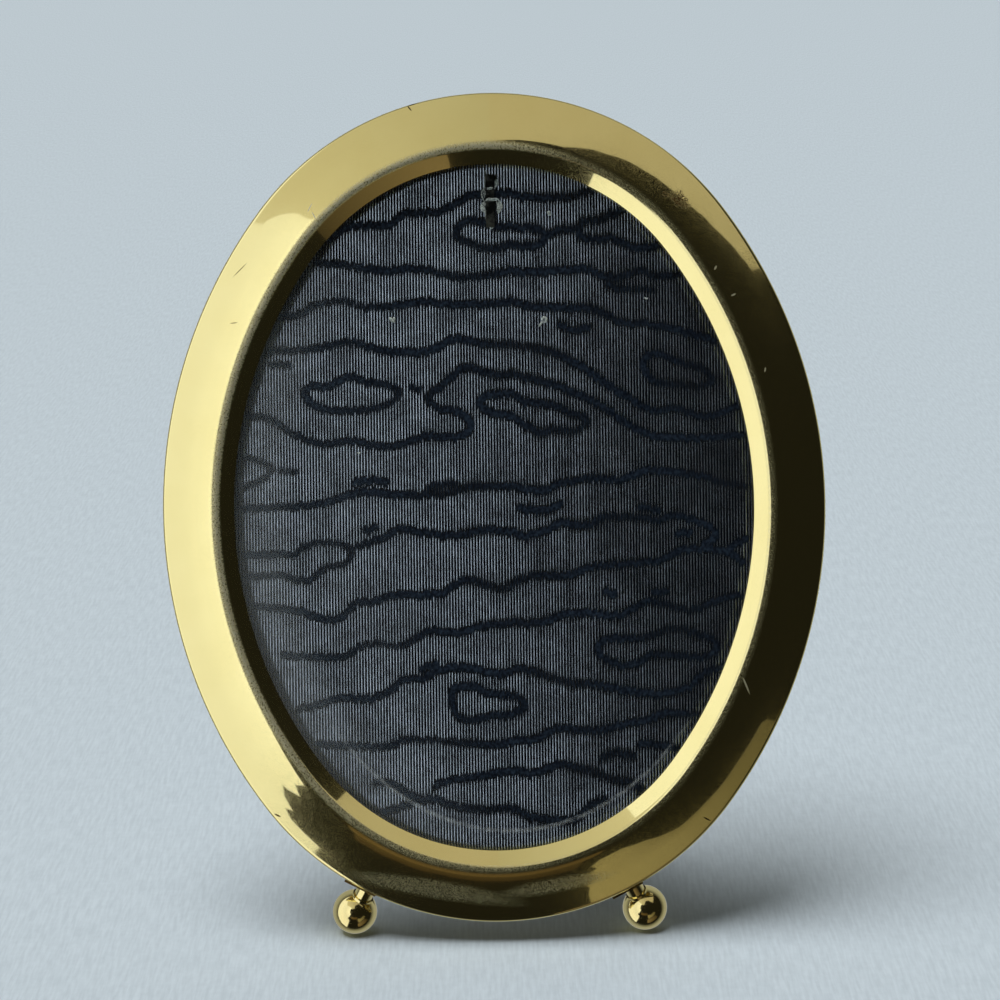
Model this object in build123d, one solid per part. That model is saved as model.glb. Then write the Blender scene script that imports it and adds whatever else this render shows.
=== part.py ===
from build123d import *
from math import acos, atan2, cos, degrees, radians, sin, sqrt, tan
import os

# An oval brass table frame that stands on two ball feet and a folding strut. Every piece is drawn
# in the frame's own plane: X across, Y back through its depth from the lip that holds the glass,
# Z up its face, with the oval's centre at zero. The whole is then leaned back and stood on the
# floor. Lengths are in millimetres, angles in degrees.

# Oval: four arcs that meet tangent, given at the sight edge
sight_width = 115.5
sight_height = 152.5
sight_end_radius = 48.5

# Pressed moulding
sheet = 0.7
face_width = 16.0
crest_offset = 3.5
crest_radius = 2.0
slope_angle = 38.0
flange_inner_angle = 12.0
flange_outer_angle = 20.0
flange_round = 28.0
flange_break_share = 0.5
edge_radius = 0.8
edge_return = 1.55
solder_gap = 0.02

# Rebate band, glass, packing and back
band_thickness = 0.7
band_shortfall = 0.15
glass_overlap = 2.6
glass_clearance = 0.3
glass_seat = 0.05
glass_thickness = 2.0
packing_width = 1.9
packing_thickness = 1.2
lining_thickness = 0.35
board_thickness = 2.0
cloth = 0.35

# Strut and its hinge
lean = 14.0
strut_opening = 27.0
hinge_height = 32.0
pin_radius = 0.8
pin_play = 0.04
pin_head_radius = 1.35
pin_head_length = 0.6
leaf_width = 24.0
leaf_corner = 3.0
leaf_fixed_sheet = 0.7
leaf_fixed_height = 17.0
leaf_moving_sheet = 0.45
leaf_moving_height = 19.0
knuckle_middle = 10.0
knuckle_gap = 0.3
tongue_width = 8.0
tongue_length = 6.5
stop_gap = 0.05
leaf_rivet_radius = 0.9
leaf_rivet_head_radius = 1.7
leaf_rivet_head_height = 0.7
head_bevel_share = 0.6
strut_air = 0.3
strut_lining_thickness = 0.25
strut_top_width = 29.0
strut_foot_width = 46.0
strut_corner = 4.0
strut_arch_rise = 6.0
strut_toe_width = 9.0

# Turn buttons, their lugs and rivets
button_angle = 52.0
button_sheet = 0.8
button_lift = 0.2
button_axial_play = 0.1
button_pivot_radius = 3.0
button_tip_radius = 2.0
button_reach = 7.6
button_tab_angle = 35.0
button_tab_length = 2.6
button_bend_radius = 1.0
lug_sheet = 0.8
lug_width = 7.0
lug_leg_height = 3.3
lug_pivot_inset = 4.2
rivet_radius = 0.9
rivet_play = 0.05
rivet_head_radius = 1.9
rivet_head_height = 0.9
rivet_tail_radius = 1.5
rivet_tail_height = 0.5

# Hanger
hanger_drop = 7.45
washer_radius = 3.4
washer_thickness = 0.45
eye_hole_radius = 1.0
eye_wire_radius = 0.65
ring_wire_radius = 0.7
ring_radius = 7.0
leg_radius = 0.95
leg_slit = 0.06
leg_bend_radius = 1.15
leg_upper_reach = 5.4
leg_lower_reach = 6.4
leg_hole_play = 0.3

# Ball feet
foot_spacing = 65.2
foot_outset = 6.2
ball_radius = 5.0
post_radius = 2.1
post_tilt = 30.0
post_root_length = 7.0
post_bend_inset = 2.0
post_bend_radius = 4.0
post_flat_depth = 1.2
collar_radius = 2.4
collar_length = 0.7
stud_radius = 1.2
stud_length = 4.5
plate_sheet = 0.9
plate_outset = 0.5
plate_left = 5.2
plate_right = 2.4

# How far cutters pass through what they cut
overrun = 1.0


# Oval
sight_half_width = sight_width / 2
sight_half_height = sight_height / 2
sight_side_radius = (
    sight_half_width**2 + sight_half_height**2 - 2 * sight_half_height * sight_end_radius
) / (2 * (sight_half_width - sight_end_radius))
end_centre = sight_half_height - sight_end_radius
side_centre = sight_side_radius - sight_half_width
junction = degrees(atan2(end_centre, side_centre))


def arcs():
    """The oval's four arcs, from the right side round: centre x and z, radius, start, span."""
    return [
        (-side_centre, 0, sight_side_radius, -junction, 2 * junction),
        (0, end_centre, sight_end_radius, junction, 180 - 2 * junction),
        (side_centre, 0, sight_side_radius, 180 - junction, 2 * junction),
        (0, -end_centre, sight_end_radius, 180 + junction, 180 - 2 * junction),
    ]


def across_rim(centre_x, centre_z, radius, angle):
    """A place on the rim: its x runs outward from the sight edge, its y back, its z along."""
    outward = Vector(cos(radians(angle)), 0, sin(radians(angle)))
    along = Vector(-sin(radians(angle)), 0, cos(radians(angle)))
    start = Vector(centre_x, 0, centre_z) + outward * radius
    return Plane(start, x_dir=outward, z_dir=along).location


def on_rim(angle):
    """The same where the rim faces the given angle, on whichever arc that is."""
    for centre_x, centre_z, radius, start, span in arcs():
        if (angle - start) % 360 <= span:
            return across_rim(centre_x, centre_z, radius, angle)


def carried_round(section):
    """A section, drawn outward from the sight edge and back, revolved round all four arcs."""
    ring = None
    for centre_x, centre_z, radius, start, span in arcs():
        face = across_rim(centre_x, centre_z, radius, start) * section
        part = revolve(face, Axis((centre_x, 0, centre_z), (0, -1, 0)), span)
        ring = part if ring is None else ring + part
    return ring


def oval(offset_out):
    """A flat oval that stands the given offset outside the sight edge."""
    return make_face(
        [
            CenterArc((centre_x, centre_z), radius + offset_out, start, span)
            for centre_x, centre_z, radius, start, span in arcs()
        ]
    )


def plate(outline, front, thickness):
    """A sheet cut to an outline drawn in X and Z, its front face at the given depth."""
    return extrude(Plane.XZ.offset(-front) * outline, -thickness)


def holes(places, radius, front, back):
    """Round cutters from front to back, with overrun at both faces."""
    depth = back - front + 2 * overrun
    return [plate(Pos(x, z) * Circle(radius), front - overrun, depth) for x, z in places]


def rim_rectangle(inner, outer, front, back):
    """A rectangle across the rim."""
    corners = [(inner, front), (outer, front), (outer, back), (inner, back)]
    return make_face(Polyline(*corners, close=True))


def headed(piece, height):
    """Bevels the rim of a rivet head, the face that lies furthest back."""
    rim = piece.faces().sort_by(Axis.Y)[-1].edges()
    return chamfer(rim, height * head_bevel_share)


# Depths, from the lip back
glass_back = glass_seat + glass_thickness
lining_front = glass_back + packing_thickness
board_front = lining_front + lining_thickness
board_back = board_front + board_thickness
covering_back = board_back + cloth
band_inner = glass_overlap + glass_clearance
band_outer = band_inner + band_thickness
band_back = covering_back - band_shortfall


# Moulding: lip cut square on the glass, inner slope, rounded bead, bowed flange, edge turned back
lip = (sheet / 2 * sin(radians(slope_angle)), -sheet / 2 * cos(radians(slope_angle)))
crest = (crest_offset, lip[1] - (crest_offset - lip[0]) * tan(radians(slope_angle)))
edge_offset = face_width - sheet / 2
flange_inner_run = (edge_offset - crest_offset) * flange_break_share
flange_outer_run = edge_offset - crest_offset - flange_inner_run
flange_break = (
    crest_offset + flange_inner_run,
    crest[1] + flange_inner_run * tan(radians(flange_inner_angle)),
)
edge = (edge_offset, flange_break[1] + flange_outer_run * tan(radians(flange_outer_angle)))
turned = (edge_offset, edge[1] + edge_return)
moulding_back = turned[1]


def front_moulding():
    radii = [crest_radius, flange_round, edge_radius]
    middle = FilletPolyline(lip, crest, flange_break, edge, turned, radius=radii)
    front = offset(middle, sheet / 2, side=Side.RIGHT, closed=False)
    back = offset(middle, sheet / 2, side=Side.LEFT, closed=False)
    lip_end = Line((0, 2 * lip[1]), (2 * lip[0], 0))
    edge_end = Line((face_width, moulding_back), (face_width - sheet, moulding_back))
    return carried_round(make_face([*front.edges(), *back.edges(), lip_end, edge_end]))


def behind_slope(at_offset):
    """Depth just behind the moulding's inner slope, at an offset from the sight edge."""
    middle = lip[1] - (at_offset - lip[0]) * tan(radians(slope_angle))
    return middle + sheet / 2 / cos(radians(slope_angle)) + solder_gap


def rebate_band():
    """Strip on edge round the glass and the back, its front edge just behind the inner slope."""
    front = behind_slope(band_inner)
    return carried_round(rim_rectangle(band_inner, band_outer, front, band_back))


def glass():
    return plate(oval(glass_overlap), glass_seat, glass_thickness)


def packing_ring():
    inner = glass_overlap - packing_width
    return carried_round(rim_rectangle(inner, glass_overlap, glass_back, lining_front))


# Hinge places: the pin's axis lies across the back, clear of it by the fixed knuckles' radius
knuckle_fixed = pin_radius + leaf_fixed_sheet
knuckle_moving = pin_radius + pin_play + leaf_moving_sheet
hinge_depth = covering_back + knuckle_fixed
leaf_rivet_inset = leaf_corner + leaf_rivet_radius / 2
back_rivet_x = leaf_width / 2 - leaf_rivet_inset
back_rivet_low = hinge_height + knuckle_fixed + leaf_rivet_inset
back_rivet_high = hinge_height + leaf_fixed_height - leaf_rivet_inset
back_rivet_places = [
    (x, z) for x in (-back_rivet_x, back_rivet_x) for z in (back_rivet_low, back_rivet_high)
]
hanger_height = sight_half_height - hanger_drop
hanger_place = [(0, hanger_height)]
leg_hole_radius = leg_radius + leg_hole_play


# Back: board, ribbed lining in front, cloth behind and turned round its edge
def lining():
    sheet_in_front = plate(oval(glass_overlap), lining_front, lining_thickness)
    return sheet_in_front - holes(hanger_place, leg_hole_radius, lining_front, board_front)


def drilled(blank, front, back):
    """The back's holes, for the four hinge rivets and the hanger."""
    blank -= holes(back_rivet_places, leaf_rivet_radius, front, back)
    return blank - holes(hanger_place, leg_hole_radius, front, back)


def back_board():
    blank = plate(oval(glass_overlap - cloth), board_front, board_thickness)
    return drilled(blank, board_front, board_back)


def back_covering():
    sheet_behind = drilled(plate(oval(glass_overlap), board_back, cloth), board_back, covering_back)
    edge_strip = rim_rectangle(glass_overlap - cloth, glass_overlap, board_front, board_back)
    return sheet_behind + carried_round(edge_strip)


def leaf_rivet(x, z, front, under_head):
    """Plain shank from the front face of the board, low bevelled head on the leaf."""
    place = Pos(x, z)
    shank = plate(place * Circle(leaf_rivet_radius), front, under_head - front)
    head = plate(place * Circle(leaf_rivet_head_radius), under_head, leaf_rivet_head_height)
    return shank + headed(head, leaf_rivet_head_height)


def back_rivets():
    under_head = covering_back + leaf_fixed_sheet
    return [leaf_rivet(x, z, board_front, under_head) for x, z in back_rivet_places]


# Hinge: fixed leaf on the back, moving leaf on the strut, and the pin through both
side_knuckle = (leaf_width - knuckle_middle) / 2 - knuckle_gap
side_knuckle_x = (leaf_width - side_knuckle) / 2


def along_hinge(radius, length, centre_x=0):
    """A rod on the hinge axis."""
    return Pos(centre_x, hinge_depth, hinge_height) * Rot(0, 90, 0) * Cylinder(radius, length)


def hinge_leaf_fixed():
    """Flat leaf riveted to the back, notched between its two rolled knuckles."""
    outline = Pos(0, hinge_height + leaf_fixed_height / 2) * Rectangle(leaf_width, leaf_fixed_height)
    outline = fillet(outline.vertices().group_by(Axis.Y)[-1], leaf_corner)
    notch_half_height = knuckle_moving + knuckle_gap
    notch = Rectangle(knuckle_middle + 2 * knuckle_gap, 2 * notch_half_height)
    leaf = plate(outline - Pos(0, hinge_height) * notch, covering_back, leaf_fixed_sheet)
    for x in (-side_knuckle_x, side_knuckle_x):
        leaf += along_hinge(knuckle_fixed, side_knuckle, x)
    leaf -= holes(
        back_rivet_places, leaf_rivet_radius, covering_back, covering_back + leaf_fixed_sheet
    )
    return leaf - along_hinge(pin_radius, leaf_width + 2 * overrun)


def hinge_pin():
    """Wire pin with a peened head at each end."""
    pin = along_hinge(pin_radius, leaf_width)
    for side in (-1, 1):
        centre_x = side * (leaf_width + pin_head_length) / 2
        pin += along_hinge(pin_head_radius, pin_head_length, centre_x)
    return pin


# Strut: drawn folded about the hinge axis, X across, Y back, Z up, then opened
strut_front = -knuckle_fixed + strut_air
strut_board_front = strut_front + strut_lining_thickness
leaf_moving_front = knuckle_moving - leaf_moving_sheet
strut_cloth_front = leaf_moving_front - cloth
strut_top = -knuckle_fixed - 2 * knuckle_gap
strut_rivet_x = leaf_width / 2 - leaf_rivet_inset
strut_rivet_low = leaf_rivet_inset - leaf_moving_height
strut_rivet_high = strut_top - leaf_rivet_inset
strut_rivet_places = [
    (0, strut_rivet_low),
    (-strut_rivet_x, strut_rivet_high),
    (strut_rivet_x, strut_rivet_high),
]

# Feet: the post lies on its plate, then bends back to the ball
plate_front = moulding_back + solder_gap
plate_back = plate_front + plate_sheet
post_depth = plate_back + post_radius - post_flat_depth
bend_start = face_width - post_bend_inset
bend_end = bend_start + post_bend_radius * sin(radians(post_tilt))
bend_end_depth = post_depth + post_bend_radius * (1 - cos(radians(post_tilt)))
ball_offset = face_width + foot_outset
ball_depth = bend_end_depth + (ball_offset - bend_end) * tan(radians(post_tilt))
ball_reach = sight_end_radius + ball_offset
foot_angle = degrees(acos(foot_spacing / 2 / ball_reach))
ball_height = -end_centre - ball_reach * sin(radians(foot_angle))


def standing_height(depth, height):
    """Height of a point above the oval's centre once the frame leans back."""
    return height * cos(radians(lean)) - depth * sin(radians(lean))


floor_height = standing_height(ball_depth, ball_height) - ball_radius
hinge_above_floor = standing_height(hinge_depth, hinge_height) - floor_height
strut_reach = hinge_above_floor / cos(radians(strut_opening - lean))
opened = Pos(0, hinge_depth, hinge_height) * Rot(strut_opening, 0, 0)


def below_floor(piece):
    """What is left of a piece of the open strut above the floor: its toes stand flat."""
    extent = 2 * strut_reach
    block = Pos(0, 0, floor_height - extent / 2) * Box(extent, extent, extent)
    return piece - Rot(lean, 0, 0) * block


def strut_outline(inset=0):
    """Tapered board with rounded shoulders, arched between its two toes."""
    spread = (strut_foot_width - strut_top_width) / 2 / (strut_reach + strut_top)
    foot = -strut_reach - 2 * overrun
    half_top = strut_top_width / 2
    half_foot = strut_foot_width / 2 + 2 * overrun * spread
    corners = [(-half_foot, foot), (half_foot, foot), (half_top, strut_top), (-half_top, strut_top)]
    outline = make_face(Polyline(*corners, close=True))
    outline = fillet(outline.vertices().group_by(Axis.Y)[-1], strut_corner)
    half_arch = strut_foot_width / 2 - strut_toe_width
    left = (-half_arch, -strut_reach)
    crown = (0, strut_arch_rise - strut_reach)
    right = (half_arch, -strut_reach)
    below = foot - overrun
    sides = Polyline(right, (half_arch, below), (-half_arch, below), left)
    outline -= make_face([ThreePointArc(left, crown, right), sides])
    return offset(outline, -inset) if inset else outline


def strut_board():
    blank = plate(strut_outline(cloth), strut_board_front, strut_cloth_front - strut_board_front)
    blank -= holes(strut_rivet_places, leaf_rivet_radius, strut_board_front, strut_cloth_front)
    return below_floor(opened * blank)


def strut_covering():
    """Cloth on the outer face, turned round every edge to the front of the board."""
    whole = plate(strut_outline(), strut_board_front, leaf_moving_front - strut_board_front)
    whole -= plate(
        strut_outline(cloth),
        strut_board_front - overrun,
        strut_cloth_front - strut_board_front + overrun,
    )
    whole -= holes(strut_rivet_places, leaf_rivet_radius, strut_cloth_front, leaf_moving_front)
    return below_floor(opened * whole)


def strut_lining():
    return below_floor(opened * plate(strut_outline(), strut_front, strut_lining_thickness))


def strut_rivets():
    return [
        opened * leaf_rivet(x, z, strut_board_front, knuckle_moving) for x, z in strut_rivet_places
    ]


def hinge_leaf_moving():
    """Leaf on the strut's outer face, its knuckle, and the tongue that stops on the fixed leaf."""
    outline = Pos(0, -leaf_moving_height / 2) * Rectangle(leaf_width, leaf_moving_height)
    outline = fillet(outline.vertices().group_by(Axis.Y)[0], leaf_corner)
    shoulder_width = (leaf_width - knuckle_middle) / 2
    for side in (-1, 1):
        shoulder_x = side * (leaf_width - shoulder_width) / 2
        outline -= Pos(shoulder_x, 0) * Rectangle(shoulder_width, -2 * strut_top)
    leaf = plate(outline, leaf_moving_front, leaf_moving_sheet)
    leaf -= holes(strut_rivet_places, leaf_rivet_radius, leaf_moving_front, knuckle_moving)
    leaf = opened * leaf + along_hinge(knuckle_moving, knuckle_middle)
    tongue = Pos(0, hinge_height + tongue_length / 2) * Rectangle(tongue_width, tongue_length)
    leaf += plate(tongue, covering_back + leaf_fixed_sheet + stop_gap, leaf_moving_sheet)
    return leaf - along_hinge(pin_radius + pin_play, leaf_width + 2 * overrun)


# Turn buttons, drawn on the rim: X outward from the sight edge, Y back, Z along the rim
button_front = covering_back + button_lift
button_back = button_front + button_sheet
lug_back = button_front - button_axial_play
lug_front = lug_back - lug_sheet
lug_inner = band_outer + solder_gap
pivot_offset = lug_inner + lug_pivot_inset
button_places = [button_angle, 180 - button_angle, 180 + button_angle, 360 - button_angle]


def turn_button():
    """Tapered finger that points inward over the back, its tip turned up for a fingernail."""
    tip_x = pivot_offset - button_reach
    pivot_circle = Pos(pivot_offset, 0) * Circle(button_pivot_radius)
    tip_circle = Pos(tip_x, 0) * Circle(button_tip_radius)
    plan = make_hull([*pivot_circle.edges(), *tip_circle.edges()])
    middle = button_front + button_sheet / 2
    tab_start = tip_x - button_tip_radius + button_tab_length
    tab_run = button_tab_length + overrun
    tab_rise = tab_run * tan(radians(button_tab_angle))
    side_view = FilletPolyline(
        (pivot_offset + button_pivot_radius + overrun, middle),
        (tab_start, middle),
        (tab_start - tab_run, middle + tab_rise),
        radius=button_bend_radius,
    )
    strip = make_face(offset(side_view, button_sheet / 2, side=Side.BOTH))
    strip = extrude(strip, button_pivot_radius + overrun, both=True)
    button = strip & plate(plan, button_front - overrun, button_sheet + tab_rise + 2 * overrun)
    return button - holes([(pivot_offset, 0)], rivet_radius + rivet_play, button_front, button_back)


def button_lug():
    """Bent lug: one leg on the band, the other the seat of the button's rivet."""
    seat = Pos((lug_inner + pivot_offset) / 2, 0) * Rectangle(lug_pivot_inset, lug_width)
    seat += Pos(pivot_offset, 0) * Circle(lug_width / 2)
    leg = Pos(lug_inner + lug_sheet / 2, 0) * Rectangle(lug_sheet, lug_width)
    lug = plate(seat, lug_front, lug_sheet) + plate(leg, lug_back - lug_leg_height, lug_leg_height)
    return lug - holes([(pivot_offset, 0)], rivet_radius, lug_front, lug_back)


def button_rivet():
    """Headed rivet, its tail spread under the lug."""
    place = Pos(pivot_offset, 0)
    under_head = button_back + button_axial_play
    shank = plate(place * Circle(rivet_radius), lug_front, under_head - lug_front)
    tail = plate(place * Circle(rivet_tail_radius), lug_front - rivet_tail_height, rivet_tail_height)
    head = plate(place * Circle(rivet_head_radius), under_head, rivet_head_height)
    return tail + shank + headed(head, rivet_head_height)


# Hanger: split pin with its eye behind, both legs clinched on the lining, and the ring
washer_back = covering_back + washer_thickness
eye_radius = eye_hole_radius + eye_wire_radius
eye_depth = washer_back + eye_radius + eye_wire_radius
eye_place = Pos(0, eye_depth, hanger_height)


def hanger_washer():
    disc = plate(Pos(0, hanger_height) * Circle(washer_radius), covering_back, washer_thickness)
    disc = headed(disc, washer_thickness)
    return disc - holes(hanger_place, leg_hole_radius, covering_back, washer_back)


def pin_leg(reach, side):
    """Half-round leg through the back, bent flat on the lining, up or down the face."""
    flat_depth = lining_front - leg_radius - solder_gap
    bend_depth = flat_depth + leg_bend_radius
    flat_height = hanger_height + side * leg_slit / 2
    bend_height = flat_height + side * leg_bend_radius
    start = (0, eye_depth - eye_radius, flat_height)
    before_bend = (0, bend_depth, flat_height)
    after_bend = (0, flat_depth, bend_height)
    path = Line(start, before_bend)
    path += TangentArc(before_bend, after_bend, tangent=(0, -1, 0))
    path += Line(after_bend, (0, flat_depth, hanger_height + side * reach))
    half_round = Circle(leg_radius)
    half_round -= Pos(0, -side * leg_radius) * Rectangle(2 * leg_radius, 2 * leg_radius)
    return sweep(Plane(start, x_dir=(1, 0, 0), z_dir=(0, -1, 0)) * half_round, path)


def hanger_split_pin():
    eye = eye_place * Rot(0, 90, 0) * Torus(eye_radius, eye_wire_radius)
    return eye + pin_leg(leg_upper_reach, 1) + pin_leg(leg_lower_reach, -1)


def hanging_ring():
    """Wire ring through the eye, hanging straight down while the frame leans."""
    hanging = eye_place * Rot(lean, 0, 0) * Pos(0, 0, -ring_radius)
    return hanging * Rot(90, 0, 0) * Torus(ring_radius, ring_wire_radius)


# Ball feet, drawn on the rim like the buttons
seat_distance = sqrt(ball_radius**2 - collar_radius**2)
toward_ball = Vector(cos(radians(post_tilt)), sin(radians(post_tilt)), 0)
ball_centre = Vector(ball_offset, ball_depth, 0)
ball_seat = ball_centre - toward_ball * seat_distance


def along_post(start, radius, length):
    """A rod along the tilted end of the post."""
    return extrude(Plane(start, z_dir=toward_ball) * Circle(radius), length)


def foot_ball():
    """Ball with a flat for the collar and a blind hole for the stud."""
    ball = Pos(*ball_centre) * Sphere(ball_radius)
    ball -= along_post(ball_seat - toward_ball * ball_radius, ball_radius, ball_radius)
    return ball - along_post(ball_seat, stud_radius, stud_length + solder_gap)


def foot_post():
    """Bent rod, flattened where it lies on its plate, with a collar and stud for the ball."""
    root = (bend_start - post_root_length, post_depth)
    before_bend = (bend_start, post_depth)
    after_bend = (bend_end, bend_end_depth)
    path = Line(root, before_bend)
    path += TangentArc(before_bend, after_bend, tangent=(1, 0))
    path += Line(after_bend, (ball_seat.X, ball_seat.Y))
    post = sweep(Plane(root, z_dir=(1, 0, 0)) * Circle(post_radius), path)
    post += along_post(ball_seat - toward_ball * collar_length, collar_radius, collar_length)
    plate_end = face_width + plate_outset
    flat = rim_rectangle(0, plate_end, plate_back - 2 * post_radius, plate_back)
    post -= extrude(flat, 2 * post_radius, both=True)
    return post + along_post(ball_seat, stud_radius, stud_length)


def foot_plate():
    """Plate soldered across the hollow behind the flange, one corner just past the rim."""
    inner = band_outer + solder_gap
    outer = face_width + plate_outset
    corners = [(inner, -plate_left), (outer, -plate_left), (outer, plate_right), (inner, plate_right)]
    return plate(make_face(Polyline(*corners, close=True)), plate_front, plate_sheet)


# Assembly, still upright
pieces = {
    "front_moulding": front_moulding(),
    "rebate_band": rebate_band(),
    "glass": glass(),
    "packing_ring": packing_ring(),
    "lining": lining(),
    "back_board": back_board(),
    "back_covering": back_covering(),
    "back_rivets": back_rivets(),
    "hinge_leaf_fixed": hinge_leaf_fixed(),
    "hinge_pin": hinge_pin(),
    "hinge_leaf_moving": hinge_leaf_moving(),
    "strut_rivets": strut_rivets(),
    "strut_board": strut_board(),
    "strut_covering": strut_covering(),
    "strut_lining": strut_lining(),
    "hanger_split_pin": hanger_split_pin(),
    "hanger_washer": hanger_washer(),
    "hanging_ring": hanging_ring(),
    "button_rivets": [on_rim(angle) * button_rivet() for angle in button_places],
}
for number, angle in enumerate(button_places, 1):
    pieces[f"button_lug_{number}"] = on_rim(angle) * button_lug()
    pieces[f"turn_button_{number}"] = on_rim(angle) * turn_button()
for side, angle in (("left", 180 + foot_angle), ("right", 360 - foot_angle)):
    pieces[f"foot_ball_{side}"] = on_rim(angle) * foot_ball()
    pieces[f"foot_post_{side}"] = on_rim(angle) * foot_post()
    pieces[f"foot_plate_{side}"] = on_rim(angle) * foot_plate()

# Leaned back, stood on the floor and centred over the origin
leaned = {}
for name, piece in pieces.items():
    solids = piece if isinstance(piece, list) else [piece]
    whole = Compound([solid for item in solids for solid in item.solids()])
    leaned[name] = Rot(-lean, 0, 0) * whole
bounds = Compound(list(leaned.values())).bounding_box()
standing = Pos(-bounds.center().X, -bounds.center().Y, -floor_height)

os.makedirs("parts", exist_ok=True)
for name, whole in leaned.items():
    export_step(standing * whole, f"parts/{name}.step")
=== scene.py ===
from functools import partial
from math import atan2, ceil, cos, pi, radians, sin, tan

import bmesh
import bpy
import numpy as np
from mathutils import Matrix, Vector


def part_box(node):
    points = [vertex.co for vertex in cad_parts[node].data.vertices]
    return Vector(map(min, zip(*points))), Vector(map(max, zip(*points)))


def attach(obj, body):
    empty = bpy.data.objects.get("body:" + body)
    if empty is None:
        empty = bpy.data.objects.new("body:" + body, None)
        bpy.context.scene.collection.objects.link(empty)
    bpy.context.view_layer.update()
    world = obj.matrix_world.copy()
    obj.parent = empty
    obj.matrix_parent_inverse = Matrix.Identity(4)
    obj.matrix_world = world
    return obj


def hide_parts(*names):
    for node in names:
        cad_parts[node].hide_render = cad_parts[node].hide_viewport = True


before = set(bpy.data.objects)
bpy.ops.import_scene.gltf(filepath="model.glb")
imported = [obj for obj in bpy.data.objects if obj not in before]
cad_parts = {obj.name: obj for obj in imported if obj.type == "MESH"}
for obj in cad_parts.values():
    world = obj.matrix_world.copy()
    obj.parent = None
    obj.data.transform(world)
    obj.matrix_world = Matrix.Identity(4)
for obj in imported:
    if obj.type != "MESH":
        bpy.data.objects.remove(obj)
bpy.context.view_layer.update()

# Moulding: a strip of thin brass pressed to a lip, slope, rounded bead and bowed flange, carried
# round the four-centre oval with its outer edge turned back, and polished. It is drawn with a
# finer section than the CAD node that it replaces, so that long reflections run smoothly in it.

# Pieces are drawn upright in millimetres, X across, Y back from the lip, Z up from the oval's
# centre, and one matrix leans them back to where the glass stands
MILLIMETRE = 0.001
LEAN = radians(14)
GLASS_MIDDLE_DEPTH = 1.05
glass_low, glass_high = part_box("glass")
leaned = Matrix.Rotation(-LEAN, 4, "X")
glass_middle = leaned @ Vector((0, GLASS_MIDDLE_DEPTH * MILLIMETRE, 0))
oval_centre = (glass_low + glass_high) / 2 - glass_middle
drawing = Matrix.Translation(oval_centre) @ leaned @ Matrix.Scale(MILLIMETRE, 4)

HALF_WIDTH, HALF_HEIGHT = 57.75, 76.25
END_RADIUS = 48.5
SIDE_RADIUS = (HALF_WIDTH**2 + HALF_HEIGHT**2 - 2 * HALF_HEIGHT * END_RADIUS) / (
    2 * (HALF_WIDTH - END_RADIUS)
)
END_CENTRE = HALF_HEIGHT - END_RADIUS
SIDE_CENTRE = SIDE_RADIUS - HALF_WIDTH
JUNCTION = atan2(END_CENTRE, SIDE_CENTRE)
# Each arc: its centre's x and z, its radius, the way its middle faces, and half its span
ARCS = [
    (-SIDE_CENTRE, 0, SIDE_RADIUS, 0, JUNCTION),
    (0, END_CENTRE, END_RADIUS, pi / 2, pi / 2 - JUNCTION),
    (SIDE_CENTRE, 0, SIDE_RADIUS, pi, JUNCTION),
    (0, -END_CENTRE, END_RADIUS, -pi / 2, pi / 2 - JUNCTION),
]

# The section is drawn along the middle of the sheet, as distances out from the sight edge and
# back from the lip, and each of its rounds is a radius and a number of steps
SHEET = 0.7
FACE_WIDTH = 16.0
CREST_OUTSET = 3.5
SLOPE, FLANGE_INNER, FLANGE_OUTER = radians(38), radians(12), radians(20)
SHOULDER_RUN, SHOULDER = 1.4, radians(4)
EDGE_RETURN = 1.55
SECTION_ROUNDS = [(1.6, 14), (8.0, 6), (76.0, 12), (0.8, 9)]
# A pair of points this close to a round keeps its shading off the flats beside it
HELD = 0.04
STATIONS = 480


def oval_point(facing, outset=0.0):
    """Where the oval's edge faces that way, the given distance outside the sight edge."""
    for centre_x, centre_z, radius, middle, half_span in ARCS:
        if abs((facing - middle + pi) % (2 * pi) - pi) <= half_span + 1e-9:
            reach = radius + outset
            return centre_x + reach * cos(facing), centre_z + reach * sin(facing)


def rounded_line(corners, rounds):
    """A line with rounded corners as places and directions, held straight up to each round."""
    line = [(corners[0], (corners[1] - corners[0]).normalized())]
    for place, (radius, steps) in enumerate(rounds, 1):
        before = (corners[place] - corners[place - 1]).normalized()
        after = (corners[place + 1] - corners[place]).normalized()
        turn = before.angle_signed(after)
        side = Vector((before.y, -before.x)) * (1 if turn > 0 else -1)
        start = corners[place] - before * radius * tan(abs(turn) / 2)
        centre = start + side * radius
        line.append((start - before * HELD, before))
        for step in range(steps + 1):
            spin = Matrix.Rotation(-turn * step / steps, 2)
            line.append((centre - spin @ side * radius, spin @ before))
        line.append((line[-1][0] + after * HELD, after))
    return line + [(corners[-1], (corners[-1] - corners[-2]).normalized())]


def between_rings(count, rings, first=0, closed=False):
    """Faces that join rings of points one after another, and the last to the first if closed."""
    faces = []
    for ring in range(rings if closed else rings - 1):
        here, there = first + ring * count, first + (ring + 1) % rings * count
        for corner in range(count):
            after = (corner + 1) % count
            faces.append((here + corner, here + after, there + after, there + corner))
    return faces


def carried_round(section):
    """A closed section of (outset, depth) carried round the oval: its points and faces."""
    points = []
    for station in range(STATIONS):
        facing = 2 * pi * station / STATIONS
        for outset, depth in section:
            x, z = oval_point(facing, outset)
            points.append((x, depth, z))
    return points, between_rings(len(section), STATIONS, closed=True)


def placed(name, data):
    """A new object in the scene."""
    made = bpy.data.objects.new(name, data)
    bpy.context.scene.collection.objects.link(made)
    return made


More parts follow.
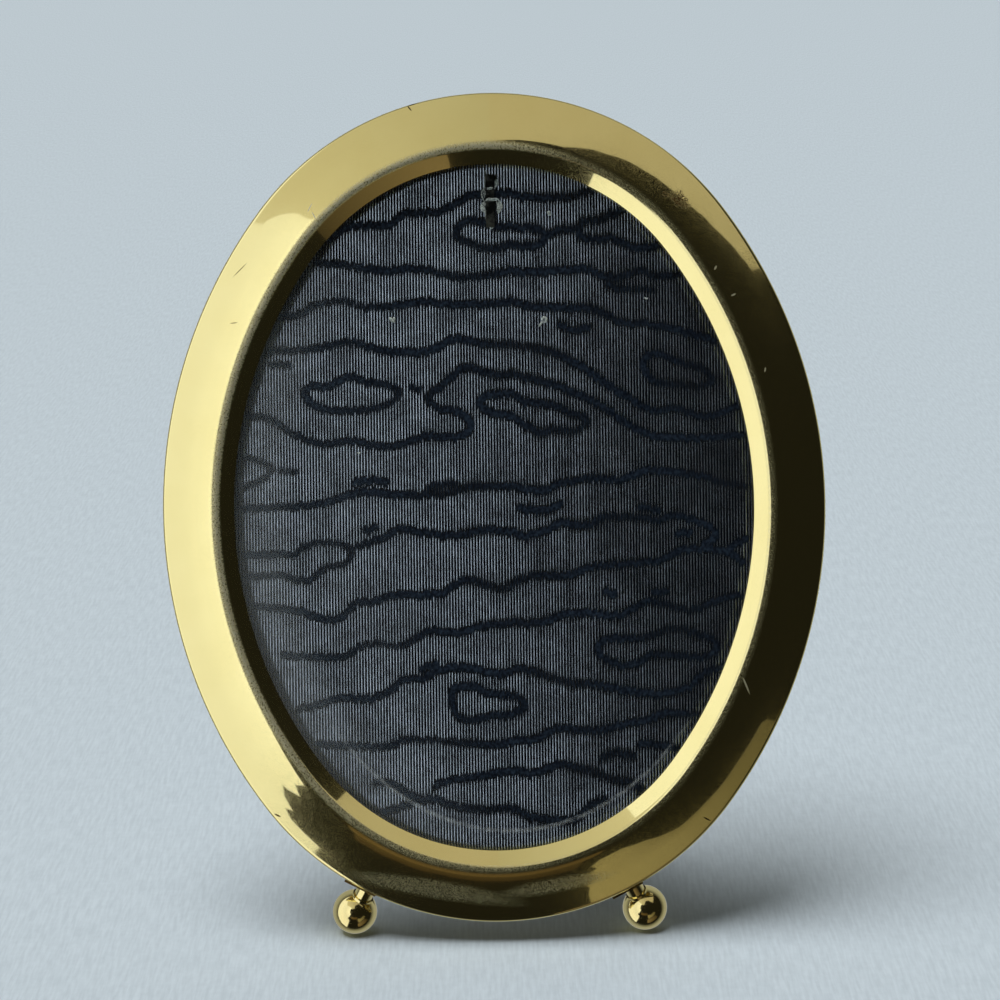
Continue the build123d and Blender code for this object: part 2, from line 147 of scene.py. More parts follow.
def new_piece(name, points, faces, finish, place=drawing, sharp_over=30):
    """A mesh piece, drawn in millimetres and put in place, its sharp corners kept sharp."""
    mesh = bpy.data.meshes.new(name)
    mesh.from_pydata([place @ Vector(point) for point in points], [], faces)
    form = bmesh.new()
    form.from_mesh(mesh)
    bmesh.ops.recalc_face_normals(form, faces=form.faces)
    form.to_mesh(mesh)
    form.free()
    mesh.shade_smooth()
    mesh.set_sharp_from_angle(angle=radians(sharp_over))
    mesh.materials.append(finish)
    return placed(name, mesh)


def point_values(piece, name, values):
    """Gives each point of a piece a number that its material reads."""
    layer = piece.data.attributes.new(name, "FLOAT", "POINT")
    layer.data.foreach_set("value", np.asarray(values, np.float32).ravel())


def colour(code):
    """An sRGB hex colour as the linear colour that a shader takes."""
    shares = [int(code[start : start + 2], 16) / 255 for start in (1, 3, 5)]
    linear = [s / 12.92 if s <= 0.04045 else ((s + 0.055) / 1.055) ** 2.4 for s in shares]
    return (*linear, 1.0)


def add_node(tree, kind, inputs=(), **settings):
    """Adds a node with its settings, and sets or links its inputs. A node given as an input means
    the first output that it shows."""
    made = tree.nodes.new("ShaderNode" + kind)
    for setting, value in settings.items():
        setattr(made, setting, value)
    for socket, value in dict(inputs).items():
        if isinstance(value, bpy.types.Node):
            value = next(output for output in value.outputs if output.enabled)
        if isinstance(value, bpy.types.NodeSocket):
            tree.links.new(value, made.inputs[socket])
        else:
            made.inputs[socket].default_value = value
    return made


def finished(name, surface, *details, **more):
    """A new material. The surface function adds its nodes and returns its shader."""
    made = bpy.data.materials.new(name)
    made.use_nodes = True
    made.node_tree.nodes.clear()
    add = partial(add_node, made.node_tree)
    add("OutputMaterial", {"Surface": surface(add, *details, **more)})
    return made


def in_drawing(add):
    """The place on a piece in the drawing's millimetres, so a pattern's scale is 1 / its size."""
    place = add("TexCoord").outputs["Object"]
    return add("Mapping", {"Vector": place, "Location": oval_centre, "Rotation": (-LEAN, 0, 0),
                           "Scale": (MILLIMETRE,) * 3}, vector_type="TEXTURE")


MARK_DEPTH = 60.0


def marked(add, place, marks):
    """Where any of the marks lies, from 0 to 1. A mark is x, z, turn in degrees, length, width."""
    found = None
    for x, z, turn, length, width in marks:
        within = add("Mapping", {"Vector": place, "Location": (x, 0, z),
                                 "Rotation": (0, -radians(turn), 0),
                                 "Scale": (length / 2, MARK_DEPTH, width / 2)},
                     vector_type="TEXTURE")
        away = add("VectorMath", {0: within}, operation="LENGTH")
        here = add("MapRange", {0: away, 1: 1.0, 2: 0.5})
        if found:
            here = add("Math", {0: here, 1: found}, operation="MAXIMUM")
        found = here
    return found


# Marks on the moulding, placed one by one: dark nicks, pale scratches, two brown corroded spots,
# and where the lower flange is rubbed dull
NICKS = [
    (-55.7, 53.4, 44, 4.8, 0.22), (-57.1, 41.6, 4, 2.0, 0.25), (-40.4, 79.0, 30, 2.4, 0.55),
    (-49.1, -67.8, -25, 1.9, 0.5), (46.3, -69.9, -30, 2.3, 0.45), (-16.4, 90.1, 24, 4.2, 0.5),
    (-17.6, 88.9, -52, 1.8, 0.4),
]
SCRATCHES = [
    (-39.9, 66.9, 62, 2.6, 0.3), (-39.0, 65.1, 118, 2.2, 0.3), (53.6, 46.3, 25, 1.4, 0.4),
    (49.7, 52.3, 60, 1.2, 0.4), (60.4, 29.6, 80, 1.3, 0.4), (55.2, -40.2, -68, 4.8, 0.45),
]
CORROSION = [(42.0, 67.6, -38, 5.6, 3.8), (39.0, 68.6, -30, 2.8, 1.6)]
RUBBED = [(-14.0, -84.5, -10, 44, 5), (12.0, -84.0, 10, 30, 4)]


def rubbed_brass(add, bright, dull, polish, scuffed_bead=False):
    """Polished brass, rubbed bright for years: mirror reflections in a warm pale yellow, with a
    slight swim in them and hairlines from wiping. The moulding's bead is scuffed grey, most at
    its left, with polish dried in the scuffs, and its flange has nicks and corroded spots."""
    place = in_drawing(add)
    clouds = add("TexNoise", {"Vector": place, "Scale": 1 / 11, "Detail": 4.0})
    tint = add("Mix", {0: clouds, 6: colour(bright), 7: colour(dull)}, data_type="RGBA")
    # Wiping leaves hairlines 0.02 mm wide; they are drawn at 0.12 mm, so that they still show
    hairs = add("TexNoise", {"Vector": place, "Scale": 1 / 0.12, "Detail": 1.0})
    wiped = add("MapRange", {0: clouds, 1: 0.3, 2: 0.7, 3: 0.60, 4: 0.55})
    above = add("Math", {0: hairs, 1: wiped}, operation="SUBTRACT")
    haze = add("MapRange", {0: above, 1: -0.03, 2: 0.03})
    rough = add("MapRange", {0: haze, 3: polish, 4: 0.22})
    swim = add("TexNoise", {"Vector": place, "Scale": 1 / 6.5, "Detail": 1.0})
    bump = add("Bump", {"Height": swim, "Distance": 0.012 * MILLIMETRE})
    metal = 1.0
    if scuffed_bead:
        outset = add("Attribute", attribute_name="outset").outputs["Fac"]
        axes = add("SeparateXYZ", {0: place})
        # Each limit of the scuffed band: along what it runs, where the band is least and full,
        # how much is left at the least, and how it eases
        scuffed = 1.0
        for along, least, full, left, easing in (
            (outset, 2.7, 3.4, 0.0, "SMOOTHSTEP"), (outset, 5.2, 3.9, 0.0, "SMOOTHSTEP"),
            (axes.outputs[0], 20.0, 2.0, 0.3, "LINEAR"),
            (axes.outputs[2], -78.0, -50.0, 0.45, "LINEAR"),
        ):
            within = add("MapRange", {0: along, 1: least, 2: full, 3: left},
                         interpolation_type=easing)
            scuffed = add("Math", {0: scuffed, 1: within}, operation="MULTIPLY")
        rubbed = add("Math", {0: marked(add, place, RUBBED), 1: 0.4}, operation="MULTIPLY")
        both = add("Math", {0: scuffed, 1: rubbed}, operation="MAXIMUM")
        fine = add("TexNoise", {"Vector": place, "Scale": 1 / 0.34, "Detail": 3.0})
        speckle = add("MapRange", {0: fine, 1: 0.36, 2: 0.62, 3: 0.3})
        scuff = add("Math", {0: both, 1: speckle}, operation="MULTIPLY")
        scratch = marked(add, place, SCRATCHES)
        worn = add("Math", {0: scuff, 1: scratch}, operation="MAXIMUM")
        # Corrosion has a torn edge and eats into the brass in pits
        ragged = add("TexNoise", {"Vector": place, "Scale": 1 / 0.9, "Detail": 4.0})
        torn = add("VectorMath", {0: ragged.outputs["Color"], 1: (2.2,) * 3, 2: (-1.1,) * 3},
                   operation="MULTIPLY_ADD")
        shaken = add("VectorMath", {0: place, 1: torn})
        pitted = add("MapRange", {0: fine, 1: 0.44, 2: 0.56})
        brown = add("Math", {0: marked(add, shaken, CORROSION), 1: pitted}, operation="MULTIPLY")
        for share, tone, roughness in ((worn, "#C9C3A6", 0.55), (brown, "#54371F", 0.5)):
            rough = add("Mix", {0: share, 2: rough, 3: roughness})
            tint = add("Mix", {0: share, 6: tint, 7: colour(tone)}, data_type="RGBA")
        tint = add("Mix", {0: marked(add, place, NICKS), 6: tint, 7: colour("#4A3A20")},
                   data_type="RGBA")
        # Polish dried in the scuffs scatters light as paint does
        metal = add("MapRange", {0: worn, 3: 1.0, 4: 0.45})
    return add("BsdfPrincipled", {"Base Color": tint, "Metallic": metal, "Roughness": rough,
                                  "Normal": bump})


lip = Vector((SHEET / 2 * sin(SLOPE), -SHEET / 2 * cos(SLOPE)))
crest = Vector((CREST_OUTSET, lip.y - (CREST_OUTSET - lip.x) * tan(SLOPE)))
edge_outset = FACE_WIDTH - SHEET / 2
half_run = (edge_outset - CREST_OUTSET) / 2
flange_break = crest + Vector((half_run, half_run * tan(FLANGE_INNER)))
shoulder = crest + Vector((SHOULDER_RUN, SHOULDER_RUN * tan(SHOULDER)))
edge = flange_break + Vector((half_run, half_run * tan(FLANGE_OUTER)))
turned = edge + Vector((0, EDGE_RETURN))
line = rounded_line([lip, crest, shoulder, flange_break, edge, turned], SECTION_ROUNDS)[1:-1]
face = [point + Vector((way.y, -way.x)) * SHEET / 2 for point, way in line]
inside = [point - Vector((way.y, -way.x)) * SHEET / 2 for point, way in line]
section = [
    (0, 2 * lip.y), *face, (FACE_WIDTH, turned.y),
    (FACE_WIDTH - SHEET, turned.y), *reversed(inside), (2 * lip.x, 0),
]
pressed_brass = finished("brass_pressed_and_polished", rubbed_brass, "#EFE5A8", "#E8DC9B", 0.035,
                         scuffed_bead=True)
moulding = new_piece("pressed_moulding", *carried_round(section), pressed_brass)
point_values(moulding, "outset", [outset for outset, _ in section] * STATIONS)
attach(moulding, "frame")
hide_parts("front_moulding")


# Glass: one flat oval pane of clear float glass, cut to shape and laid against the lip. A thin
# layer of dust lies on it, most round its edge, and it is made heaviest at the left and low down
# as painted glare from the window.
def glass_with_dust_and_glare(add):
    """Float glass: clear and hard-edged in reflection, with dust that greys what lies behind, made
    heaviest at the left as painted glare from the window, and low down the faint line that the
    edge of an old print left."""
    place = in_drawing(add)
    axes = add("SeparateXYZ", {0: place})
    # The veil grows towards the left and low down: painted glare from the window, laid over the
    # dust
    drift = add("TexNoise", {"Vector": place, "Scale": 1 / 22, "Detail": 5.0})
    across = add("Math", {0: drift, 1: 34.0, 2: axes.outputs[0]}, operation="MULTIPLY_ADD")
    left_and_low_glare = add("Math", {0: axes.outputs[2], 1: 0.24, 2: across}, operation="MULTIPLY_ADD")
    # The print that lay here was an oval this far across and high, a little right of the middle
    oval = add("Mapping", {"Vector": place, "Location": (3.0, 0, 0), "Scale": (53.3, 1e6, 72.0)},
               vector_type="TEXTURE")
    out = add("VectorMath", {0: oval}, operation="LENGTH")
    left = add("MapRange", {0: left_and_low_glare, 2: -46.0})
    beyond = add("MapRange", {0: out, 1: 0.86, 2: 1.02, 3: 0.25}, interpolation_type="SMOOTHSTEP")
    dust_and_glare_spread = add("Math", {0: left, 1: beyond}, operation="MULTIPLY")
    dust_and_glare_film = add("Math", {0: dust_and_glare_spread, 1: 0.06}, operation="MULTIPLY")
    off = add("Math", {0: out, 1: 1.0}, operation="SUBTRACT")
    apart = add("Math", {0: off}, operation="ABSOLUTE")
    near = add("MapRange", {0: apart, 1: 0.009, 2: 0.001})
    low = add("MapRange", {0: axes.outputs[2], 1: -46.0, 2: -58.0})
    trace = add("Math", {0: near, 1: low}, operation="MULTIPLY")
    broken = add("TexNoise", {"Vector": place, "Scale": 1 / 1.4, "Detail": 3.0})
    patchy = add("MapRange", {0: broken, 1: 0.35, 2: 0.65, 4: 0.16})
    line = add("Math", {0: trace, 1: patchy}, operation="MULTIPLY")
    dust = add("Math", {0: dust_and_glare_film, 1: line}, operation="ADD")
    clear = add("Math", {0: 1.0, 1: dust}, operation="SUBTRACT")
    return add("BsdfPrincipled", {"Base Color": colour("#EEF4F2"), "Roughness": 0.0, "IOR": 1.5,
                                  "Transmission Weight": clear})


def refinish(finish, *names):
    """Gives CAD nodes their finish."""
    for name in names:
        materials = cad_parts[name].data.materials
        materials.clear()
        materials.append(finish)


refinish(finished("glass_float_dust_and_glare", glass_with_dust_and_glare), "glass")
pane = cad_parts["glass"]
pane.visible_shadow = pane.visible_diffuse = False


# Packing ring and boards: the ring is cut from thin black-faced pasteboard and laid on the glass
# to keep a print off it. The boards that stiffen back and strut are grey pasteboard, cut to shape.
def pasteboard(add, face):
    """Pasteboard: matt grey-brown pulp with short fibres and darker flecks."""
    place = in_drawing(add)
    fibres = add("Mapping", {"Vector": place, "Scale": (3.2, 3.2, 0.9)})
    pulp = add("TexNoise", {"Vector": fibres, "Scale": 1.0, "Detail": 6.0})
    flecks = add("TexNoise", {"Vector": place, "Scale": 1 / 0.5, "Detail": 1.0})
    flecked = add("MapRange", {0: flecks, 1: 0.68, 2: 0.74})
    shaded = add("Mix", {0: pulp, 6: colour(face), 7: colour("#7A7164")}, data_type="RGBA")
    tint = add("Mix", {0: flecked, 6: shaded, 7: colour("#4B443B")}, data_type="RGBA")
    bump = add("Bump", {"Height": pulp, "Distance": 0.05 * MILLIMETRE, "Strength": 0.6})
    return add("BsdfPrincipled", {"Base Color": tint, "Roughness": 0.92, "Normal": bump})


refinish(finished("pasteboard_grey_rolled", pasteboard, "#958C7C"), "back_board", "strut_board")
refinish(finished("pasteboard_black_faced", pasteboard, "#2B2A28"), "packing_ring")


# Lining: ribbed silk over a thin card on the inner face of the back, pressed while wet and folded
# so that the ribs lie flattened along wandering lines, which is moire. Its ribs run upright, one
# every two thirds of a millimetre, and it has a hole that the hanger's pin comes through.
LINING_FRONT, LINING_BACK = 3.25, 3.60
LINING_OUTSET = 2.6
RIB_PITCH = 0.653
RIB_RISE = 0.0755
ROWS = 236
# The pin's hole: x, z and radius
PIN_HOLE = (0.0, 68.8, 1.25)
# The water lines, as routes of x and z that were drawn one by one. The ribs lie pressed to this
# share of their rise as far from a line as the half width, and stand again one fade further out
PRESSED_SHARE = 0.12
WATER_HALF_WIDTH, WATER_FADE, WATER_RAGGED = 0.38, 0.75, 0.2
WATER_FAR, WATER_MARGIN, BATCH = 9.0, 3, 4000
WATER_LINES = [
    [(-35.8, 60.2), (-32.7, 62.4), (-30, 63.2), (-22.8, 63.3), (-20.1, 65.1), (-17.4, 65.9),
     (-12.1, 65.9), (-6.7, 68.3), (-4, 69.6), (2.3, 69.9), (11.2, 68.9), (19.2, 69.2),
     (24.6, 71.2)],
    [(-7.7, 60.7), (-6.3, 63.3), (-3.2, 64), (2.2, 62.5), (10.2, 62), (12.2, 60.2), (10.1, 58.2),
     (4.8, 58.3), (0.3, 57.7), (-4.1, 58.8), (-7.7, 60.7)],
    [(12.9, 60.4), (16, 61.7), (19.6, 61.9), (20.9, 63.4), (24.5, 63.8), (27.2, 65.1),
     (29.5, 65.7)],
    [(19.6, 61.9), (20.4, 59.8), (24.5, 59.3), (27.1, 59.7), (30.7, 57.9), (33.4, 57.2),
     (37.8, 58)],
    [(-38.6, 54.9), (-33.7, 54.6), (-23.9, 53.1), (-16.7, 53.4), (-8.7, 51.8), (-5.1, 51.3),
     (2.9, 52.3), (11, 52.4), (20.8, 52.7), (25.2, 51.1), (29.7, 51.2), (33.3, 52.3), (36.4, 51.1),
     (41.8, 51.1)],
    [(26.1, 49.3), (29.2, 48.3), (35.9, 48)],
    [(-46.8, 43.1), (-42.8, 43.5), (-39.2, 45.5), (-32.9, 46.5), (-28.5, 45.1), (-19.5, 45.4),
     (-15.9, 46), (-7, 45.3), (5.5, 45.5), (9.1, 44.6), (20.7, 44), (24.2, 43.3), (29.6, 40.7),
     (34.9, 40.4), (42.9, 38.5), (49.6, 36.4)],
    [(15.3, 40.3), (18.8, 39.1), (21.5, 39.7)],
    [(-49.6, 35.3), (-40.2, 35.7), (-36.6, 36.5), (-31.2, 37.3), (-25.9, 35.7), (-20.6, 34.9),
     (-14.3, 34.9), (-11.6, 36.2), (-8, 37.7), (-2.7, 36.7), (10.7, 35.2), (18.7, 31.7),
     (24, 28.1), (31.1, 23.5), (33.8, 21.7), (37.3, 21), (40.9, 21.4), (47.1, 19.5), (50.7, 20.3),
     (54.3, 21.6)],
    [(-41.9, 25.9), (-40.3, 27.4), (-36.8, 27.4), (-31.8, 29.5), (-28.2, 28.4), (-23.3, 27.6),
     (-20.7, 25.8), (-23.4, 23.4), (-27, 22.3), (-35, 22), (-39.9, 23.2), (-41.9, 25.9)],
    [(-54.3, 21.1), (-50.2, 20.4), (-44.9, 17), (-38.7, 14.6), (-31.6, 15.2), (-25.3, 14),
     (-20, 14.4), (-15.5, 15.9), (-8.3, 15.8), (-5.2, 17.3), (-5.4, 19.5), (-8.2, 21.6),
     (-12.2, 22.3), (-14.5, 24.6), (-11.7, 27), (-9, 29.2), (-5.9, 31.2), (1.7, 29.5), (6.2, 29.2),
     (15.1, 26.6), (22.2, 23.2), (25.7, 21.3), (31.9, 17), (37.2, 15.2), (46.2, 14.8),
     (55.6, 15.3)],
    [(-2.9, 23.3), (-1, 25.1), (4.3, 25), (7.4, 23.4), (13.2, 22.6), (16.8, 21), (21, 19),
     (18.5, 16.8), (13.1, 17.1), (10.7, 16.4), (6.9, 18.5), (3.4, 20.3), (-0.6, 21.3),
     (-2.9, 23.3)],
    [(33.7, 30.8), (34.8, 33.3), (37.1, 33.7), (41.9, 31.6), (46.4, 30.4), (49, 27.9),
     (47.2, 26.4), (41, 26.7), (36.1, 27.7), (33.7, 30.8)],
    [(-55.3, 12), (-52.2, 11), (-49.5, 9), (-51.8, 6.8), (-55.4, 5.3)],
    [(-55.9, 0.6), (-47, 0.5), (-38.9, 1.2), (-30.8, 3.6), (-27.3, 3.8), (-20.1, 3), (-11.2, 3.1),
     (-5.3, 4.6), (1.4, 4.7), (9.4, 3.7), (12.3, 3.9), (15.2, 5.2), (22.8, 6), (28.2, 5.7),
     (33.6, 7.6), (37.1, 7.6), (46.1, 6.3), (50.5, 4.9), (56.3, 3.9)],
    [(-30.8, 6), (-27.2, 6.4), (-24.1, 6)], [(-14.3, 4.5), (-11.1, 5.3), (-8.5, 5.3)],
    [(-55.6, -9.9), (-48, -10), (-44.9, -10.1), (-42.2, -8.3), (-39, -7.5), (-34.6, -7.7),
     (-31.9, -8.7), (-27.4, -7.2), (-24.3, -6.3), (-21.6, -4.6), (-16.7, -5.3), (-12.2, -6),
     (-6.8, -5.9), (-1.5, -4.9), (3.9, -5.8), (7, -6.5), (12.8, -4.8), (15.1, -3.7), (20.9, -4.5),
     (24.9, -2.5), (32.5, -2.9), (37, -3.4), (40.1, -2.5), (45.9, -4), (49.4, -6.7), (46.7, -9.1)],
    [(-54.8, -14.8), (-48.1, -14.7), (-41.8, -15.9), (-37.8, -13.1), (-33.7, -12.2),
     (-32.1, -10.5), (-32.3, -8.7)],
    [(5.8, -0.3), (11.1, -0.8), (14.7, 0.3)],
    [(-53.5, -21.3), (-47.3, -22.3), (-44.1, -22.6), (-38.8, -24.4), (-34.8, -24.3),
     (-32.5, -22.3), (-30.7, -20.8), (-26.7, -20.6), (-23.1, -19.3), (-16, -19.4), (-11.9, -19),
     (-8.3, -16.8), (-5.6, -16.2), (1.9, -18.1), (6.4, -15.9), (10.9, -15.3), (15.4, -15.6),
     (23.4, -13.5), (36, -12.5), (41.8, -10.2), (46.7, -10), (51.6, -10.7), (55.2, -13)],
    [(51.6, -10.7), (53.9, -9), (56.1, -7.7)],
    [(-47.4, -32.6), (-34.9, -33), (-30.4, -30.8), (-26.8, -30), (-20.6, -30.5), (-16.1, -27.9),
     (-12.5, -27.5), (-8, -27.8), (-0.9, -26.1), (9.9, -25.8), (17, -23.9), (26.9, -24.5),
     (32.2, -22.3), (34.9, -21.5), (41.2, -23.3), (44.7, -23.4), (51, -21), (54.6, -20.6)],
    [(22.7, -32.4), (24.1, -30), (27.7, -29.6), (33, -29.7), (38.4, -27.8), (43.3, -28.3),
     (48.2, -30.3), (49.1, -32.4), (46.4, -34.1), (39.2, -33.6), (35.2, -33.3), (32.1, -35),
     (28.5, -35.7), (24.5, -34.3), (22.7, -32.4)],
    [(-44, -44.5), (-39.5, -43.6), (-35, -42.1), (-27.9, -42.2), (-23.4, -40.3), (-21.1, -38.3),
     (-16.2, -37.9), (-12.6, -36.2), (-7.7, -35.6), (0.8, -37.1), (6.1, -36.2), (11.5, -37.9),
     (15.9, -39.3), (24, -40.3), (32.9, -42), (38.2, -42), (43.2, -40.6), (45.9, -37.9),
     (50.4, -36.4)],
    [(-10, -42.9), (-9.3, -40.3), (-5.5, -39.9), (-2, -41.3), (3.4, -42.2), (6.3, -44.1),
     (3.8, -46.3), (-1.1, -46.4), (-5.2, -47.5), (-8.7, -46.5), (-10, -42.9)],
    [(-39.7, -52.4), (-31.6, -52.9), (-24.5, -53), (-20.9, -51.7), (-13.7, -51.8), (-2.1, -52.9),
     (5.9, -52.1), (9.1, -51.7), (12.2, -49.9), (15.8, -49.6), (22, -50.3), (28.3, -48.8),
     (33.7, -48), (37.3, -46.5), (44.9, -47.1)],
    [(-13.9, -62.3), (-11.2, -60.8), (-4, -60), (1.4, -59), (8.5, -59.3), (13.9, -57.6),
     (19.2, -58.8), (25.5, -60.9), (29, -61.6), (32.1, -63.6)],
    [(-27.3, -61), (-23.2, -61.5), (-18.8, -64.5), (-13.5, -65.2), (-9.5, -66.6), (-3.2, -67.4),
     (2.1, -67.2), (6.6, -68.9), (11, -69.8), (16.8, -69.9), (20.9, -66.8), (24, -65.7)],
    [(-26, -67.7), (-22.9, -66.9), (-19.3, -65.8)], [(31.8, -53.3), (36.3, -53.6), (39.8, -54.4)],
    [(23.3, -56.4), (26.4, -55.1), (30.4, -56)], [(-47.7, 8.5), (-44.2, 8.5)],
    [(-49.2, 32.2), (-45.2, 32.2)], [(32.6, -0.6), (36.6, -1.1)], [(24.7, -19.1), (26.5, -20)],
    [(35.4, -19.4), (38.1, -19.5)], [(-18, 26.9), (-16.2, 26.6)], [(-16.6, -35.7), (-13.5, -35.1)],
    [(-28.7, -4.7), (-26.5, -4.1)], [(41, -6.6), (43.6, -6.2)],
]


def half_height_at(x, outset):
    """Half the oval's height at x, from its end arc or from its side arc."""
    reach = END_RADIUS + outset
    if x < reach * cos(JUNCTION):
        return END_CENTRE + (reach**2 - x**2) ** 0.5
    return ((SIDE_RADIUS + outset) ** 2 - (x + SIDE_CENTRE) ** 2) ** 0.5


def smooth_route(points, step=0.4):
    """Points close together along a smooth line through the given ones."""
    closed = points[0] == points[-1]
    before, after = (points[-2], points[1]) if closed else (points[0], points[-1])
    padded, dense = np.array([before, *points, after], float), []
    for place in range(len(points) - 1):
        a, b, c, d = padded[place : place + 4]
        pieces = max(2, ceil(np.linalg.norm(c - b) / step))
        t = (np.arange(pieces) / pieces)[:, None]
        dense.append(0.5 * (2 * b + (c - a) * t + (2 * a - 5 * b + 4 * c - d) * t**2
                            + (3 * b - a - 3 * c + d) * t**3))
    dense.append(np.array([points[-1]], float))
    return np.concatenate(dense)


# A column of points on each rib's crest and one in each gap, from edge to edge of the oval
chance = np.random.default_rng(7)
rib_count = int((HALF_WIDTH + LINING_OUTSET) / RIB_PITCH)
halves = np.arange(-2 * rib_count, 2 * rib_count + 1)
xs = halves * RIB_PITCH / 2
heights = np.array([half_height_at(abs(x), LINING_OUTSET) for x in xs])
shares = np.linspace(-1, 1, ROWS)
grid_x = np.repeat(xs[:, None], ROWS, 1)
grid_z = heights[:, None] * shares[None, :]
on_crest = np.where(halves % 2 == 0, 1.0, 0.0)[:, None] * np.ones(grid_x.shape)
# How far each point is from a water line, a little ragged from rib to rib, worked out in batches
shift = chance.normal(0, WATER_RAGGED, len(xs) // 2 + 1)[np.arange(len(xs)) // 2]
places = np.stack([grid_x.ravel(), (grid_z + shift[:, None]).ravel()], 1)
water = np.full(len(places), WATER_FAR)
for route in WATER_LINES:
    dense = smooth_route(route)
    low, high = dense.min(0) - WATER_MARGIN, dense.max(0) + WATER_MARGIN
    near = np.where(((places > low) & (places < high)).all(1))[0]
    for start in range(0, len(near), BATCH):
        some = near[start : start + BATCH]
        gap = np.linalg.norm(places[some, None, :] - dense[None, :, :], axis=2).min(1)
        water[some] = np.minimum(water[some], gap)
water = water.reshape(grid_x.shape)
standing = np.clip((water - WATER_HALF_WIDTH) / WATER_FADE, 0, 1)
standing = standing * standing * (3 - 2 * standing)
# The water lines are pressed more in some places than in others
ripple = np.sin(grid_x / 5.3 + grid_z / 9.7) + np.sin(grid_x / 8.9 - grid_z / 4.1)
standing = 1 - (1 - standing) * np.clip(0.75 + 0.168 * ripple, 0, 1)
stature = chance.uniform(0.92, 1.0, len(xs))[:, None]
rise = on_crest * RIB_RISE * (PRESSED_SHARE + (1 - PRESSED_SHARE) * standing) * stature
depth = LINING_FRONT + RIB_RISE - rise
in_hole = np.hypot(grid_x - PIN_HOLE[0], grid_z - PIN_HOLE[1]) < PIN_HOLE[2]
depth = np.where(in_hole, LINING_BACK - 0.02, depth)

# The front as a grid of faces, then the thin edge round it and one flat face behind
points = [tuple(point) for point in np.stack([grid_x, depth, grid_z], 2).reshape(-1, 3)]
net = np.arange(len(points)).reshape(grid_x.shape)
quads = np.stack([net[:-1, :-1], net[1:, :-1], net[1:, 1:], net[:-1, 1:]], 2)
faces = [tuple(quad) for quad in quads.reshape(-1, 4).tolist()]
border = np.concatenate([net[0], net[1:, -1], net[-1, -2::-1], net[-2:0:-1, 0]]).tolist()
front_faces, first_back = len(faces), len(points)
points += [(points[corner][0], LINING_BACK, points[corner][2]) for corner in border]
for place in range(len(border)):
    after = (place + 1) % len(border)
    faces.append((border[place], border[after], first_back + after, first_back + place))
faces.append(tuple(range(first_back, first_back + len(border))))


def watered_silk(add):
    """Ribbed silk, watered: each rib's crest painted as a soft grey highlight between gaps painted
    near-black as shade, brightest where it faces the window, and painted a dull navy shade where
    it lies flattened."""
    place = in_drawing(add)
    rib = add("Attribute", attribute_name="rib").outputs["Fac"]
    flattened = add("Attribute", attribute_name="flattened").outputs["Fac"]
    along = add("Mapping", {"Vector": place, "Scale": (1 / RIB_PITCH, 1 / RIB_PITCH, 1 / 2.2)})
    slubs = add("TexNoise", {"Vector": along, "Scale": 1.0, "Detail": 4.0})
    lively = add("MapRange", {0: slubs, 1: 0.3, 2: 0.72, 3: 0.52})
    # The rib number paints a highlight on each crest and shade in each gap
    lit = add("MapRange", {0: rib, 1: 0.3, 2: 0.8}, interpolation_type="SMOOTHSTEP")
    patches = add("TexNoise", {"Vector": place, "Scale": 1 / 5.5, "Detail": 4.0})
    patchy = add("MapRange", {0: patches, 1: 0.32, 2: 0.66, 3: 0.5})
    lively = add("Math", {0: lively, 1: patchy}, operation="MULTIPLY")
    gleam = add("Math", {0: lit, 1: lively}, operation="MULTIPLY")
    # From the painted shade in the gaps to the painted highlight on the crests
    thread = add("Mix", {0: gleam, 6: colour("#0C121B"), 7: colour("#D1D8EB")}, data_type="RGBA")
    crumbs = add("TexNoise", {"Vector": place, "Scale": 1 / 0.7, "Detail": 5.0})
    mottle = add("MapRange", {0: crumbs, 1: 0.35, 2: 0.7})
    # Painted shade: flattened ribs no longer catch the light, so they are coloured a darker navy
    pressed = add("Mix", {0: mottle, 6: colour("#151D2B"), 7: colour("#3C485A")}, data_type="RGBA")
    tint = add("Mix", {0: flattened, 6: thread, 7: pressed}, data_type="RGBA")
    sheen = add("MapRange", {0: gleam, 2: 0.12, 3: 0.3, 4: 0.97})
    return add("BsdfPrincipled", {"Base Color": tint, "Roughness": 0.17, "Metallic": sheen,
                                  "Specular IOR Level": 0.2})


lining = new_piece("moire_sheet", points, faces,
                   finished("silk_ribbed_and_watered", watered_silk), sharp_over=4)
behind = np.zeros(len(border))
# Crests carry the painted highlight and gaps the painted shade, giving way to painted shade where
# the ribs lie flattened
point_values(lining, "rib", np.concatenate([(on_crest * standing).ravel(), behind]))
point_values(lining, "flattened", np.concatenate([0.88 * (1 - standing).ravel(), behind]))
# The front fills most of the bake map, and the thin edge and back have a strip beside it
FRONT_SPAN, BACK_SPAN = 170, 2400
bake_map = lining.data.uv_layers.new(name="OFBake")
corners = np.zeros(len(lining.data.loops), np.int32)
lining.data.loops.foreach_get("vertex_index", corners)
owner = np.repeat(np.arange(len(lining.data.polygons)),
                  [len(face.vertices) for face in lining.data.polygons])
flat = np.array([(point[0], point[2]) for point in points])[corners]
laid_out = np.where((owner < front_faces)[:, None], flat / FRONT_SPAN + (0.42, 0.5),
                    flat / BACK_SPAN + (0.92, 0.5))
bake_map.data.foreach_set("uv", laid_out.astype(np.float32).ravel())
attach(lining, "frame")
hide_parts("lining")


